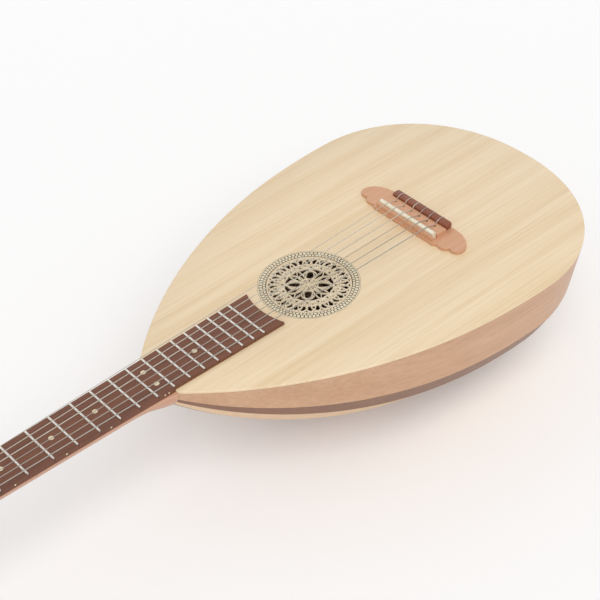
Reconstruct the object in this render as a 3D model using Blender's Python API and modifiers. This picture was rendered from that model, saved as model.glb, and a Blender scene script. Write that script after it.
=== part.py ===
"""Lute guitar: a ribbed bowl under a spruce top, a fretted neck and a slotted head.

+X runs along the strings from the head to the tail, +Y is the treble side and +Z is out of the top.
The origin lies under the middle of the whole length, level with the lowest line of the bowl.
Inside the instrument frame, x is counted from the nut's front face and z from the top's outer face.
"""
import math

import bmesh
import bpy
from mathutils import Matrix, Vector

# Fits, in metres
FIT = 0.0003

# Strings and frets
SCALE_LENGTH = 0.650
FRET_COUNT = 19
STRING_RADII = (0.00036, 0.00041, 0.00051, 0.00037, 0.00045, 0.00055)
NUT_SPREAD = 0.035
SADDLE_SPREAD = 0.058
STRING_AT_NUT = 0.0055
STRING_AT_SADDLE = 0.0123

# Body outline, seen from above
BODY_START = 0.3253
WIDEST_X = 0.682
BODY_HALF_WIDTH = 0.1673
FRONT_LENGTH = 0.3811
FRONT_POWER = 2.17
FRONT_ROUND = 0.851
TAIL_LENGTH = 0.1446
TAIL_POWER = 2.08
TAIL_ROUND = 0.464
TAIL_END_ANGLE = math.radians(87.3)
FRONT_STATIONS = 12
TAIL_STATIONS = 9

# Bowl: angular width of each rib from one edge round to the middle one, in degrees
TOP_THICKNESS = 0.0025
RIB_THICKNESS = 0.002
HALF_RIBS = (24.0, 10.5, 18.5, 10.5, 21.25)

# Rose
ROSE_X = 0.514
ROSE_RADIUS = 0.0432
ROSE_THICKNESS = 0.002
ROSE_SINK = 0.0003

# Neck and fingerboard
NUT_WIDTH = 0.042
NUT_THICKNESS = 0.005
NUT_HEIGHT = 0.0062
NECK_TOP = -0.0022
BOARD_TOP = 0.0037
BOARD_END_HALF_WIDTH = 0.029
BOARD_END_X = 0.4518
BOARD_END_ARC = 0.079
BOARD_CORNER = 0.0055
TWELFTH_WIDTH = 0.0532
NECK_DEPTH_NUT = 0.015
NECK_DEPTH_HEEL = 0.017
HEEL_START = 0.282

# Frets
FRET_WIDTH = 0.0022
FRET_HEIGHT = 0.0009
TANG_WIDTH = 0.0005
TANG_DEPTH = 0.0018
FRET_END_INSET = 0.0009

# Bridge, saddle and tie block
BRIDGE_FRONT = 0.643
BRIDGE_BACK = 0.676
BRIDGE_THICKNESS = 0.0035
BLOCK_HALF_LENGTH = 0.041
BLOCK_TOP = 0.008
SADDLE_X = SCALE_LENGTH
SADDLE_THICKNESS = 0.005
SADDLE_HALF_LENGTH = 0.0395
SADDLE_WALL = 0.0026
SADDLE_WALL_TOP = 0.0088
TIE_FRONT = 0.6663
TIE_TOP = 0.0112
TIE_HALF_LENGTH = 0.040
HOLE_X = 0.6615
HOLE_RADIUS = 0.0013

# Head and machine heads, in the head's own frame: u towards the tip, w out of its face
HEAD_ANGLE = math.radians(15.0)
HEAD_LENGTH = 0.165
HEAD_THICKNESS = 0.019
HEAD_HALF_WIDTH = 0.032
SHOULDER_LENGTH = 0.016
SLOT_START = 0.020
SLOT_END = 0.132
SLOT_INNER = 0.006
SLOT_OUTER = 0.021
ROLLER_U = (0.042, 0.077, 0.112)
BARREL_RADIUS = 0.005
POST_RADIUS = 0.003
BARREL_INNER_END = 0.0028
PLATE_THICKNESS = 0.0012
MODULE = 0.001
GEAR_TEETH = 14
GEAR_THICKNESS = 0.0035
WORM_PITCH_RADIUS = 0.003
WORM_TURNS = 4
WORM_ADDENDUM = 0.0008
GEAR_ADDENDUM = 0.001
ROOT_CLEARANCE = 0.0003
MESH_CLEARANCE = 0.0001
TOOTH_WIDTH = 0.0013
PRESSURE_ANGLE = math.radians(20.0)
SHAFT_RADIUS = 0.0014
KNOB_HALF_WIDTH = 0.0075
KNOB_HALF_DEPTH = 0.0048
EAR_HALF_HEIGHT = 0.0095
EAR_THICKNESS = 0.0025
WRAP_TURNS = 1.5
WRAP_POINTS = 24
WRAP_GAP = 0.00045

# Sizes that follow from the ones above
BODY_TAIL = WIDEST_X + TAIL_LENGTH * math.sin(TAIL_END_ANGLE)
RIB_TOP = TOP_THICKNESS + FIT
BOWL_DEPTH = BODY_HALF_WIDTH * math.sin(math.radians(sum(HALF_RIBS)))
HEAD_TIP_X = -NUT_THICKNESS - HEAD_LENGTH * math.cos(HEAD_ANGLE)
NUT_X = -(BODY_TAIL + HEAD_TIP_X) / 2
ROLLER_W = -HEAD_THICKNESS / 2
PLATE_INNER = HEAD_HALF_WIDTH + FIT
PLATE_OUTER = PLATE_INNER + PLATE_THICKNESS
WORM_PITCH = math.pi * MODULE
GEAR_PITCH_RADIUS = GEAR_TEETH * MODULE / 2
WORM_TIP = WORM_PITCH_RADIUS + WORM_ADDENDUM
WORM_ROOT = WORM_PITCH_RADIUS - GEAR_ADDENDUM - ROOT_CLEARANCE
GEAR_TIP = GEAR_PITCH_RADIUS + GEAR_ADDENDUM
GEAR_ROOT = GEAR_PITCH_RADIUS - WORM_ADDENDUM - ROOT_CLEARANCE
AXIS_DISTANCE = WORM_PITCH_RADIUS + GEAR_PITCH_RADIUS + MESH_CLEARANCE
GEAR_MID = PLATE_OUTER + WORM_TIP + 0.0007
WORM_HALF_LENGTH = EAR_HALF_HEIGHT - EAR_THICKNESS - FIT
HEAD_FRAME = Matrix.Translation((-NUT_THICKNESS, 0, NECK_TOP)) @ Matrix.Rotation(-HEAD_ANGLE, 4, "Y")

for old in list(bpy.data.objects):
    bpy.data.objects.remove(old)

parts = bpy.data.collections.new("lute_guitar")
cutters = bpy.data.collections.new("cutters")
bpy.context.scene.collection.children.link(parts)
bpy.context.scene.collection.children.link(cutters)


def material(name, colour, roughness, metallic=0.0):
    """A plain finish."""
    made = bpy.data.materials.new(name)
    made.use_nodes = True
    shader = made.node_tree.nodes["Principled BSDF"]
    shader.inputs["Base Color"].default_value = (*colour, 1.0)
    shader.inputs["Roughness"].default_value = roughness
    shader.inputs["Metallic"].default_value = metallic
    return made


SPRUCE = material("spruce", (0.83, 0.68, 0.46), 0.5)
PALE_RIB = material("pale_rib", (0.66, 0.41, 0.26), 0.4)
DARK_RIB = material("dark_rib", (0.27, 0.13, 0.08), 0.4)
ROSEWOOD = material("rosewood", (0.17, 0.06, 0.035), 0.45)
PEARWOOD = material("pearwood", (0.66, 0.36, 0.23), 0.45)
BONE = material("bone", (0.88, 0.82, 0.68), 0.35)
NICKEL = material("nickel", (0.72, 0.72, 0.70), 0.25, 1.0)
BRASS = material("brass", (0.78, 0.60, 0.30), 0.3, 1.0)
NYLON = material("nylon", (0.85, 0.84, 0.80), 0.3)
SILVER_WOUND = material("silver_wound", (0.62, 0.60, 0.57), 0.35, 1.0)
BLOCK_WOOD = material("block_wood", (0.75, 0.58, 0.38), 0.6)


def frame(name, parent=None, location=(0, 0, 0), rotation=(0, 0, 0)):
    """An empty that carries pieces."""
    empty = bpy.data.objects.new(name, None)
    empty.parent = parent
    empty.location = location
    empty.rotation_euler = rotation
    parts.objects.link(empty)
    return empty


instrument = frame("instrument", location=(NUT_X, 0, BOWL_DEPTH))
head = frame("head_frame", instrument, (-NUT_THICKNESS, 0, NECK_TOP), (0, -HEAD_ANGLE, 0))


def piece(name, mesh, finish=None, parent=instrument, location=(0, 0, 0), rotation=(0, 0, 0)):
    """A sub-part, or a cutter where no finish is given."""
    made = bpy.data.objects.new(name, mesh)
    made.parent = parent
    made.location = location
    made.rotation_euler = rotation
    if finish is None:
        cutters.objects.link(made)
        made.hide_render = True
        made.display_type = "WIRE"
    else:
        if not mesh.materials:
            mesh.materials.append(finish)
        parts.objects.link(made)
    return made


def boolean(target, other, operation):
    """Cut or join one piece with another."""
    modifier = target.modifiers.new(f"{operation.lower()}_{other.name}", "BOOLEAN")
    modifier.operation = operation
    modifier.object = other
    modifier.solver = "EXACT"


def frozen(target):
    """The mesh of a piece with its modifiers applied; the piece itself is removed."""
    bpy.context.view_layer.update()
    graph = bpy.context.evaluated_depsgraph_get()
    mesh = bpy.data.meshes.new_from_object(target.evaluated_get(graph))
    bpy.data.objects.remove(target)
    return mesh


def smooth(mesh, degrees=35.0):
    """Round faces smooth, edges sharp."""
    mesh.shade_smooth()
    mesh.set_sharp_from_angle(angle=math.radians(degrees))
    return mesh


def loft(name, rings):
    """A closed skin through rings of points, with a flat face at each end."""
    mesh = bpy.data.meshes.new(name)
    work = bmesh.new()
    rows = [[work.verts.new(point) for point in ring] for ring in rings]
    count = len(rows[0])
    for row, following in zip(rows, rows[1:]):
        for i in range(count):
            j = (i + 1) % count
            work.faces.new((row[i], row[j], following[j], following[i]))
    work.faces.new(rows[0])
    work.faces.new(rows[-1])
    bmesh.ops.recalc_face_normals(work, faces=work.faces)
    work.to_mesh(mesh)
    work.free()
    return mesh


def plate(name, outlines, low, high):
    """A flat outline with any holes, between two heights."""
    curve = bpy.data.curves.new(name, "CURVE")
    curve.dimensions = "2D"
    curve.fill_mode = "BOTH"
    curve.extrude = (high - low) / 2
    for outline in outlines:
        spline = curve.splines.new("POLY")
        spline.points.add(len(outline) - 1)
        for point, (x, y) in zip(spline.points, outline):
            point.co = (x, y, 0, 1)
        spline.use_cyclic_u = True
    flat = bpy.data.objects.new(name, curve)
    parts.objects.link(flat)
    mesh = frozen(flat)
    bpy.data.curves.remove(curve)
    work = bmesh.new()
    work.from_mesh(mesh)
    bmesh.ops.remove_doubles(work, verts=work.verts, dist=1e-6)
    bmesh.ops.translate(work, verts=work.verts, vec=(0, 0, (low + high) / 2))
    work.to_mesh(mesh)
    work.free()
    return mesh


def boxes(name, corners):
    """Separate boxes in one mesh, each from its low and high corner."""
    mesh = bpy.data.meshes.new(name)
    work = bmesh.new()
    for low, high in corners:
        low, high = Vector(low), Vector(high)
        size = Matrix.Diagonal((*(high - low), 1.0))
        bmesh.ops.create_cube(work, size=1.0, matrix=Matrix.Translation((low + high) / 2) @ size)
    work.to_mesh(mesh)
    work.free()
    return mesh


def rods(name, ends, radius, segments=12):
    """Separate cylinders in one mesh, each between two points."""
    mesh = bpy.data.meshes.new(name)
    work = bmesh.new()
    for start, end in ends:
        start, end = Vector(start), Vector(end)
        turn = (end - start).to_track_quat("Z", "Y").to_matrix().to_4x4()
        bmesh.ops.create_cone(work, cap_ends=True, segments=segments, radius1=radius, radius2=radius,
                              depth=(end - start).length, matrix=Matrix.Translation((start + end) / 2) @ turn)
    work.to_mesh(mesh)
    work.free()
    return mesh


def turned(name, profile, steps=16):
    """A turned piece about Z; the profile of radii and heights runs from its top to its foot."""
    mesh = bpy.data.meshes.new(name)
    points = [(radius, 0.0, height) for radius, height in profile]
    mesh.from_pydata(points, [(i, i + 1) for i in range(len(points) - 1)], [])
    lathe = piece(f"{name}_lathe", mesh)
    screw = lathe.modifiers.new("turn", "SCREW")
    screw.steps = steps
    screw.render_steps = steps
    screw.use_merge_vertices = True
    screw.merge_threshold = 0.00001
    return frozen(lathe)


def arc(centre, radius, start, end, count):
    """Points along an arc, angles in degrees."""
    angles = [math.radians(start + (end - start) * i / count) for i in range(count + 1)]
    return [(centre[0] + radius * math.cos(a), centre[1] + radius * math.sin(a)) for a in angles]


def mirrored(points):
    """A half outline from -Y round to +Y, completed by its mirror image in y."""
    return [(x, -y) for x, y in points] + [(x, y) for x, y in reversed(points)]


# Outline of the body and its offset inwards


def half_width(x):
    """Half the body's width behind the nut at x."""
    if x < WIDEST_X:
        share = (WIDEST_X - x) / FRONT_LENGTH
        return BODY_HALF_WIDTH * (1 - share ** FRONT_POWER) ** FRONT_ROUND
    share = (x - WIDEST_X) / TAIL_LENGTH
    return BODY_HALF_WIDTH * (1 - share ** TAIL_POWER) ** TAIL_ROUND


def stations():
    """Distances behind the nut at which the body is measured."""
    front = [BODY_START + (WIDEST_X - BODY_START) * i / FRONT_STATIONS for i in range(FRONT_STATIONS)]
    steps = [TAIL_END_ANGLE * i / TAIL_STATIONS for i in range(TAIL_STATIONS + 1)]
    return front + [WIDEST_X + TAIL_LENGTH * math.sin(a) for a in steps]


def inset(x, depth):
    """The place and half width of a line that runs inside the outline by a depth."""
    step = 1e-6
    slope = (half_width(x + step) - half_width(x - step)) / (2 * step)
    length = math.hypot(1.0, slope)
    return x + depth * slope / length, half_width(x) - depth / length


def on_bowl(x, radius, degrees, shift=0.0):
    """A point of the bowl's half round section, with an angle from the bass edge downwards."""
    lowest = math.degrees(math.asin(min(1.0, RIB_TOP / radius)))
    angle = math.radians(min(max(degrees, lowest), 180 - lowest)) + shift / radius
    return (x, -radius * math.cos(angle), -radius * math.sin(angle))


RIB_ANGLES = [0.0]
for span in HALF_RIBS:
    RIB_ANGLES.append(RIB_ANGLES[-1] + span)
RIB_ANGLES += [180 - angle for angle in reversed(RIB_ANGLES)]


def soundboard():
    """The top, with its round hole for the rose."""
    sides = [(x, half_width(x)) for x in stations()]
    hole = arc((ROSE_X, 0), ROSE_RADIUS + FIT, 0, 352.5, 47)
    piece("soundboard", plate("soundboard", [mirrored(sides), hole], -TOP_THICKNESS, 0), SPRUCE)


def ribs():
    """Flat staves, pale and dark in turn, meeting at the tail."""
    for number, (low, high) in enumerate(zip(RIB_ANGLES, RIB_ANGLES[1:]), 1):
        start = FIT / 2 if number > 1 else 0.0
        end = -FIT / 2 if number < len(RIB_ANGLES) - 1 else 0.0
        rings = []
        for x in stations():
            inner_x, inner_radius = inset(x, RIB_THICKNESS)
            rings.append([on_bowl(x, half_width(x), low, start), on_bowl(x, half_width(x), high, end),
                          on_bowl(inner_x, inner_radius, high, end), on_bowl(inner_x, inner_radius, low, start)])
        pale = number % 2 == 1
        name = f"rib_{number:02d}_{'pale' if pale else 'dark'}"
        piece(name, smooth(loft(name, rings)), PALE_RIB if pale else DARK_RIB)


def block(name, places):
    """An end block with the bowl's own section, under the top."""
    rings = []
    for x, radius in places:
        rings.append([on_bowl(x, radius, angle) for angle in RIB_ANGLES])
    piece(name, loft(name, rings), BLOCK_WOOD)


def end_blocks():
    """The neck block and the tail block, glued inside the ribs."""
    depth = RIB_THICKNESS + FIT
    places = stations()
    near, second = inset(places[0], depth), inset(places[1], depth)
    rise = (second[1] - near[1]) / (second[0] - near[0])
    front = (BODY_START, near[1] - rise * (near[0] - BODY_START) - FIT)
    block("neck_block", [front, near, second])
    end_radius = half_width(places[-1]) - FIT
    tail = [inset(x, depth) for x in places[-5:]]
    tail = [(tail[0][0] - 0.004, tail[0][1])] + [place for place in tail if place[1] > end_radius]
    tail += [(BODY_TAIL - depth, end_radius), (BODY_TAIL - FIT, end_radius)]
    block("tail_block", tail)


def rose():
    """A pierced disc: a ring of pointed arches, a ring of lozenges and a flower of leaves and loops."""
    def polar(radius, degrees):
        return (ROSE_X + radius * math.cos(math.radians(degrees)), radius * math.sin(math.radians(degrees)))

    holes = []
    for k in range(16):
        middle = 22.5 * k
        holes.append([polar(0.0405, middle - 5.0), polar(0.0405, middle + 5.0), polar(0.0330, middle)])
        between = middle + 11.25
        holes.append([polar(0.0395, between), polar(0.0330, between + 4.6), polar(0.0305, between),
                      polar(0.0330, between - 4.6)])
        holes.append([polar(0.0305, middle), polar(0.0280, middle + 4.2), polar(0.0258, middle),
                      polar(0.0280, middle - 4.2)])
    for k in range(4):
        axis = 90.0 * k
        for side in (-1, 1):
            holes.append([polar(0.0060, axis + side * 10), polar(0.0150, axis + side * 3.5),
                          polar(0.0235, axis + side * 2.4), polar(0.0205, axis + side * 13.5),
                          polar(0.0130, axis + side * 19)][::side])
        corner = axis + 45.0
        holes.append([polar(0.0215, corner - 7), polar(0.0235, corner), polar(0.0215, corner + 7),
                      polar(0.0185, corner)])
        holes.append([polar(0.0160, corner - 11), polar(0.0165, corner + 11), polar(0.0085, corner)])
    rim = arc((ROSE_X, 0), ROSE_RADIUS, 0, 352.5, 47)
    low = -ROSE_SINK - ROSE_THICKNESS
    piece("rose", plate("rose", [rim] + holes, low, -ROSE_SINK), SPRUCE)


# Neck, fingerboard and frets


def board_half_width(x):
    """Half the fingerboard's width behind the nut at x."""
    return (NUT_WIDTH + (TWELFTH_WIDTH - NUT_WIDTH) * x / (SCALE_LENGTH / 2)) / 2


def fret_place(number):
    """Distance of a fret behind the nut, for equal semitones."""
    return SCALE_LENGTH * (1 - 2 ** (-number / 12))


def neck():
    """Shaft with a round heel, and the slotted head."""
    joint = BODY_START - FIT
    heel_radius = half_width(BODY_START)
    rings = []
    places = [-NUT_THICKNESS, 0.06, 0.14, 0.22, HEEL_START] + [
        HEEL_START + (joint - HEEL_START) * share for share in (0.3, 0.55, 0.75, 0.9, 1.0)]
    for x in places:
        share = max(0.0, (x - HEEL_START) / (joint - HEEL_START))
        ease = share * share * (3 - 2 * share)
        wide = board_half_width(x) * (1 - share ** 3) + heel_radius * share ** 3
        shaft = NECK_DEPTH_NUT + (NECK_DEPTH_HEEL - NECK_DEPTH_NUT) * x / HEEL_START
        deep = shaft * (1 - ease) + (heel_radius + NECK_TOP) * ease
        power = 1.8 + 0.2 * ease
        ring = []
        for i in range(13):
            a = math.pi * i / 12
            y = -wide * math.copysign(abs(math.cos(a)) ** (2 / power), math.cos(a))
            ring.append((x, y, NECK_TOP - deep * math.sin(a) ** (2 / power)))
        rings.append(ring)
    shaft = piece("neck", smooth(loft("neck", rings)), PEARWOOD)
    near = board_half_width(0)
    outline = [(0.0, near), (-0.004, near), (-SHOULDER_LENGTH, HEAD_HALF_WIDTH), (-0.150, HEAD_HALF_WIDTH)]
    outline += [(-0.158, 0.029), (-0.161, 0.020), (-0.1625, 0.010), (-HEAD_LENGTH, 0.0)]
    outline = [(x, -y) for x, y in outline] + [(x, y) for x, y in reversed(outline[:-1])]
    blank = piece("head_blank", plate("head_blank", [outline], -HEAD_THICKNESS, 0), parent=head)
    boolean(shaft, blank, "UNION")
    slots = []
    middle, half = (SLOT_INNER + SLOT_OUTER) / 2, (SLOT_OUTER - SLOT_INNER) / 2
    for side in (-1, 1):
        slot = arc((-SLOT_START - half, side * middle), half, -90, 90, 8)
        slot += arc((-SLOT_END + half, side * middle), half, 90, 270, 8)
        slots.append(slot)
    for number, slot in enumerate(slots):
        opening = piece(f"slot_{number}", plate(f"slot_{number}", [slot], -0.03, 0.01), parent=head)
        boolean(shaft, opening, "DIFFERENCE")
    ends = [((-u, side * (BARREL_INNER_END - FIT), ROLLER_W), (-u, side * (HEAD_HALF_WIDTH + 0.002), ROLLER_W))
            for u in ROLLER_U for side in (-1, 1)]
    bores = piece("roller_bores", rods("roller_bores", ends, BARREL_RADIUS + FIT), parent=head)
    boolean(shaft, bores, "DIFFERENCE")


def fingerboard():
    """Tapered board, stepped over the top's edge, with a hollow end round the rose and sawn fret slots."""
    corner_x = BOARD_END_X + BOARD_CORNER
    half = board_half_width(corner_x)
    spread = math.degrees(math.asin(half / BOARD_END_ARC))
    hollow = arc((BOARD_END_X + BOARD_END_ARC, 0), BOARD_END_ARC, 180 - spread, 180 + spread, 10)
    outline = [(0.0, board_half_width(0)), (0.0, -board_half_width(0))]
    board = piece("fingerboard", plate("fingerboard", [outline + hollow[::-1]], NECK_TOP + FIT, BOARD_TOP),
                  ROSEWOOD)
    step = boxes("board_step", [((BODY_START - FIT, -0.05, NECK_TOP), (0.50, 0.05, FIT))])
    boolean(board, piece("board_step", step), "DIFFERENCE")
    saw = TANG_WIDTH / 2 + FIT
    cuts = []
    for number in range(1, FRET_COUNT + 1):
        x = fret_place(number)
        cuts.append(((x - saw, -0.05, BOARD_TOP - TANG_DEPTH - FIT), (x + saw, 0.05, BOARD_TOP + 0.002)))
    boolean(board, piece("fret_slots", boxes("fret_slots", cuts)), "DIFFERENCE")


def frets():
    """Crown and tang of each fret, one wire each."""
    crown = FRET_HEIGHT + FIT
    for number in range(1, FRET_COUNT + 1):
        x = fret_place(number)
        half = board_half_width(x) - FRET_END_INSET
        section = [(-TANG_WIDTH / 2, -TANG_DEPTH), (TANG_WIDTH / 2, -TANG_DEPTH), (TANG_WIDTH / 2, FIT),
                   (FRET_WIDTH / 2, FIT), (FRET_WIDTH * 0.36, crown * 0.75), (0.0, crown),
                   (-FRET_WIDTH * 0.36, crown * 0.75), (-FRET_WIDTH / 2, FIT), (-TANG_WIDTH / 2, FIT)]
        rings = [[(across, y, up) for across, up in section] for y in (-half, half)]
        name = f"fret_{number:02d}"
        piece(name, smooth(loft(name, rings)), NICKEL, location=(x, 0, BOARD_TOP))


def string_offsets(spread):
    """Places across the neck of strings one to six, treble first."""
    return [spread / 2 - spread * i / 5 for i in range(6)]


def nut():
    """Bone nut with six slots that fall away towards the head."""
    profile = [(-NUT_THICKNESS, NECK_TOP + FIT), (-FIT, NECK_TOP + FIT), (-FIT, NUT_HEIGHT - 0.0004),
               (-0.0008, NUT_HEIGHT), (-0.0020, NUT_HEIGHT), (-NUT_THICKNESS, 0.0036)]
    half = NUT_WIDTH / 2
    rings = [[(x, y, z) for x, z in profile] for y in (-half, half)]
    bone = piece("nut", loft("nut", rings), BONE)
    for number, y in enumerate(string_offsets(NUT_SPREAD)):
        wide = STRING_RADII[number] + FIT
        low = STRING_AT_NUT - FIT
        drop = math.tan(HEAD_ANGLE + math.radians(17.0))
        cut = [(0.002, low), (0.002, 0.01), (-0.008, 0.01), (-0.008, low - 0.0068 * drop), (-0.0012, low)]
        rings = [[(x, y + side * wide, z) for x, z in cut] for side in (-1, 1)]
        groove = piece(f"nut_groove_{number + 1}", loft(f"nut_groove_{number + 1}", rings))
        boolean(bone, groove, "DIFFERENCE")


# Bridge


def bridge():
    """Base with scalloped wings, a wall before the saddle and a raised block with the string holes."""
    half = [(BRIDGE_FRONT, 0.0), (BRIDGE_FRONT, 0.0435), (0.6462, 0.0475), (0.6448, 0.0505),
            (0.6448, 0.0555), (0.6468, 0.0590), (0.6502, 0.0612), (0.6490, 0.0640), (0.6492, 0.0680),
            (0.6512, 0.0715), (0.6550, 0.0735), (0.6610, 0.0728), (0.6670, 0.0690), (0.6715, 0.0630),
            (0.6745, 0.0560), (0.6757, 0.0480), (BRIDGE_BACK, 0.0410), (BRIDGE_BACK, 0.0)]
    outline = [(x, -y) for x, y in half[1:-1]] + [(x, y) for x, y in reversed(half[1:-1])]
    base = piece("bridge", plate("bridge", [outline], FIT, BRIDGE_THICKNESS), PEARWOOD)
    front = SADDLE_X + SADDLE_THICKNESS / 2 + FIT
    wall = SADDLE_X - SADDLE_THICKNESS / 2 - FIT
    raised = boxes("raised_block", [((front, -BLOCK_HALF_LENGTH, FIT * 2),
                                     (TIE_FRONT - FIT, BLOCK_HALF_LENGTH, BLOCK_TOP)),
                                    ((wall - SADDLE_WALL, -BLOCK_HALF_LENGTH, FIT * 2),
                                     (wall, BLOCK_HALF_LENGTH, SADDLE_WALL_TOP))])
    boolean(base, piece("raised_block", raised), "UNION")
    ends = [((HOLE_X, y, BRIDGE_THICKNESS * 0.8), (HOLE_X, y, BLOCK_TOP + 0.002))
            for y in string_offsets(SADDLE_SPREAD)]
    boolean(base, piece("string_holes", rods("string_holes", ends, HOLE_RADIUS, 12)), "DIFFERENCE")
    low = BRIDGE_THICKNESS + FIT
    back = SADDLE_X + SADDLE_THICKNESS / 2
    profile = [(SADDLE_X - SADDLE_THICKNESS / 2, low), (back, low), (back, 0.0104), (SADDLE_X + 0.0005, 0.0120),
               (SADDLE_X - 0.0006, 0.0120), (SADDLE_X - SADDLE_THICKNESS / 2, 0.0113)]
    reach = SADDLE_HALF_LENGTH
    rings = [[(x, y, z) for x, z in profile] for y in (-reach, reach)]
    piece("saddle", loft("saddle", rings), BONE)
    tie = boxes("tie_block", [((TIE_FRONT, -TIE_HALF_LENGTH, low), (BRIDGE_BACK, TIE_HALF_LENGTH, TIE_TOP))])
    bar = piece("tie_block", tie, ROSEWOOD)
    bevel = bar.modifiers.new("rounded", "BEVEL")
    bevel.width = 0.0022
    bevel.segments = 2


# Machine heads


def worm():
    """A right-hand thread of trapezoid section, closed at both ends."""
    steps = 12
    flank = math.tan(PRESSURE_ANGLE)
    at_tip = TOOTH_WIDTH / 2 - (WORM_TIP - WORM_PITCH_RADIUS) * flank
    at_root = TOOTH_WIDTH / 2 + (WORM_PITCH_RADIUS - WORM_ROOT) * flank
    section = [(-WORM_PITCH / 2, WORM_ROOT), (-at_root, WORM_ROOT), (-at_tip, WORM_TIP), (at_tip, WORM_TIP),
               (at_root, WORM_ROOT)]
    mesh = bpy.data.meshes.new("worm")
    work = bmesh.new()
    total = steps * WORM_TURNS
    rows = []
    for i in range(total + steps + 1):
        angle = 2 * math.pi * i / steps
        height = WORM_PITCH * (i / steps - WORM_TURNS / 2)
        count = len(section) if i <= total else 1
        rows.append([work.verts.new((r * math.cos(angle), r * math.sin(angle), height + z))
                     for z, r in section[:count]])
    for i in range(total):
        for j in range(len(section) - 1):
            work.faces.new((rows[i][j], rows[i + 1][j], rows[i + 1][j + 1], rows[i][j + 1]))
        work.faces.new((rows[i][-1], rows[i + 1][-1], rows[i + steps + 1][0], rows[i + steps][0]))
    bottom = work.verts.new((0, 0, -WORM_PITCH * (WORM_TURNS / 2 + 0.5) - 0.0005))
    top = work.verts.new((0, 0, WORM_PITCH * (WORM_TURNS / 2 + 0.5) + 0.0005))
    for i in range(steps):
        work.faces.new((bottom, rows[i + 1][0], rows[i][0]))
        work.faces.new((top, rows[total + i][0], rows[total + i + 1][0]))
    work.faces.new([bottom] + rows[0] + [rows[steps][0]])
    work.faces.new([top, rows[total + steps][0]] + rows[total][::-1])
    bmesh.ops.recalc_face_normals(work, faces=work.faces)
    work.to_mesh(mesh)
    work.free()
    return mesh


def shaft_mesh():
    """One button, its shaft and its worm, about Z with the worm's middle at the origin."""
    clear = EAR_HALF_HEIGHT + FIT
    knob_top = clear + 0.003
    profile = [(0, clear + 0.0012), (0.0022, clear + 0.0012), (0.0022, clear), (SHAFT_RADIUS, clear),
               (SHAFT_RADIUS, -knob_top - 0.004), (0, -knob_top - 0.004)]
    shaft = piece("button_shaft", turned("button_shaft", profile, 12), NICKEL)
    thread = piece("thread", worm())
    limit = rods("thread_limit", [((0, 0, -WORM_HALF_LENGTH), (0, 0, WORM_HALF_LENGTH))], WORM_TIP * 1.3, 12)
    boolean(thread, piece("thread_limit", limit), "INTERSECT")
    rings = []
    for height, share in ((0, 0.45), (0.0015, 0.8), (0.005, 1.0), (0.012, 1.0), (0.016, 0.78), (0.0172, 0.45)):
        rings.append([(share * KNOB_HALF_WIDTH * math.cos(math.tau * i / 12),
                       share * KNOB_HALF_DEPTH * math.sin(math.tau * i / 12), -knob_top - height)
                      for i in range(12)])
    knob = piece("button", loft("button", rings))
    boolean(shaft, thread, "UNION")
    boolean(shaft, knob, "UNION")
    return smooth(frozen(shaft))


def gear_outline(turn):
    """Points round the gear with a tooth towards -X, turned by an angle."""
    base = GEAR_PITCH_RADIUS * math.cos(PRESSURE_ANGLE)
    at_pitch = TOOTH_WIDTH / 2 / GEAR_PITCH_RADIUS

    def half_angle(radius):
        slant = math.acos(min(1.0, base / radius))
        start = math.tan(PRESSURE_ANGLE) - PRESSURE_ANGLE
        return at_pitch + start - (math.tan(slant) - slant)

    steps = [(GEAR_ROOT, -half_angle(GEAR_ROOT)), (GEAR_TIP, -half_angle(GEAR_TIP))]
    tooth = steps + [(radius, -angle) for radius, angle in reversed(steps)]
    points = []
    for k in range(GEAR_TEETH):
        middle = math.pi + turn + math.tau * k / GEAR_TEETH
        points += [(radius * math.cos(middle + angle), radius * math.sin(middle + angle))
                   for radius, angle in tooth]
    return points


def roller_mesh():
    """One string roller with its gear wheel, about Z, which runs outwards from the head's middle."""
    gear_low, gear_high = GEAR_MID - GEAR_THICKNESS / 2, GEAR_MID + GEAR_THICKNESS / 2
    profile = [(0, gear_high + 0.0012), (0.0026, gear_high + 0.0012), (0.0026, gear_high - 0.0005),
               (0.0042, gear_high - 0.0005), (0.0042, PLATE_OUTER + FIT), (POST_RADIUS, PLATE_OUTER + FIT),
               (POST_RADIUS, PLATE_INNER - FIT), (BARREL_RADIUS, PLATE_INNER - FIT),
               (BARREL_RADIUS, BARREL_INNER_END), (0, BARREL_INNER_END)]
    roller = piece("roller_blank", turned("roller_blank", profile, 12), BRASS)
    twist = WORM_PITCH / (math.tau * WORM_PITCH_RADIUS) / GEAR_PITCH_RADIUS
    rings = []
    for height in (gear_low, gear_high):
        rings.append([(x, y, height) for x, y in gear_outline((height - GEAR_MID) * twist)])
    boolean(roller, piece("gear_teeth", loft("gear_teeth", rings)), "UNION")
    return smooth(frozen(roller))


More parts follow.
